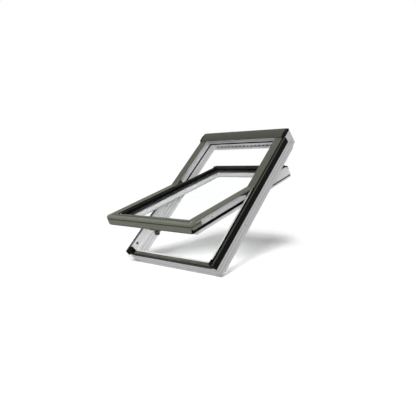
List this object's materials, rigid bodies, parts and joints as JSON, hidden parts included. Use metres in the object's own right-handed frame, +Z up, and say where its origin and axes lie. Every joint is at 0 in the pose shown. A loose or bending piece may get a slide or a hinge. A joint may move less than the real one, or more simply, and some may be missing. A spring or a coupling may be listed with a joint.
{
  "type": "centre pivot roof window",
  "caption": "White plastic centre pivot roof window on a 45 degree slope, its double glazed sash swung part open, with dark metal covers, seals, hood, vent grille, hinges and handle.",
  "frame": {"origin": "middle of the flat room side face under the bottom rail", "axes": "+X to the right seen from outside, +Y level and inwards up the slope, +Z up"},
  "size_m": [0.792, 1.1142, 0.9374],
  "materials": {
    "white_pvc": "smooth white window plastic",
    "cover_metal": "olive grey lacquered sheet",
    "black_plastic": "satin black",
    "black_rubber": "matt black seal",
    "grey_plastic": "light grey moulding",
    "handle_plastic": "dark grey moulding",
    "hinge_steel": "zinc plated steel",
    "spacer_aluminium": "plain",
    "clear_glass": "clear"
  },
  "bodies": {
    "root": {"frame_bottom_rail": "white_pvc", "frame_left_hinge": "hinge_steel", "frame_left_seal": "black_rubber", "frame_left_stile": "white_pvc", "frame_right_hinge": "hinge_steel", "frame_right_seal": "black_rubber", "frame_right_stile": "white_pvc", "frame_top_rail": "white_pvc", "frame_top_seal": "black_rubber", "glazing_seal": "black_rubber", "glazing_strip_bottom": "cover_metal", "glazing_strip_left": "cover_metal", "glazing_strip_right": "cover_metal", "glazing_strip_top": "cover_metal", "handle": "handle_plastic", "handle_base": "handle_plastic", "hood_left_cap": "black_plastic", "hood_right_cap": "black_plastic", "inner_pane": "clear_glass", "left_side_channel": "black_plastic", "left_stile_block": "black_plastic", "left_trim": "cover_metal", "outer_pane": "clear_glass", "right_side_channel": "black_plastic", "right_stile_block": "black_plastic", "right_trim": "cover_metal", "sash_bottom_cover": "cover_metal", "sash_bottom_rail": "white_pvc", "sash_bottom_seal": "black_rubber", "sash_left_block": "black_plastic", "sash_left_cover": "cover_metal", "sash_left_hinge": "hinge_steel", "sash_left_seal": "black_rubber", "sash_left_stile": "white_pvc", "sash_right_block": "black_plastic", "sash_right_cover": "cover_metal", "sash_right_hinge": "hinge_steel", "sash_right_seal": "black_rubber", "sash_right_stile": "white_pvc", "sash_top_rail": "white_pvc", "sill_strip": "cover_metal", "spacer_bar": "spacer_aluminium", "top_hood": "cover_metal", "upper_left_cover": "cover_metal", "upper_right_cover": "cover_metal", "vent_grille": "grey_plastic"}
  },
  "joints": []
}
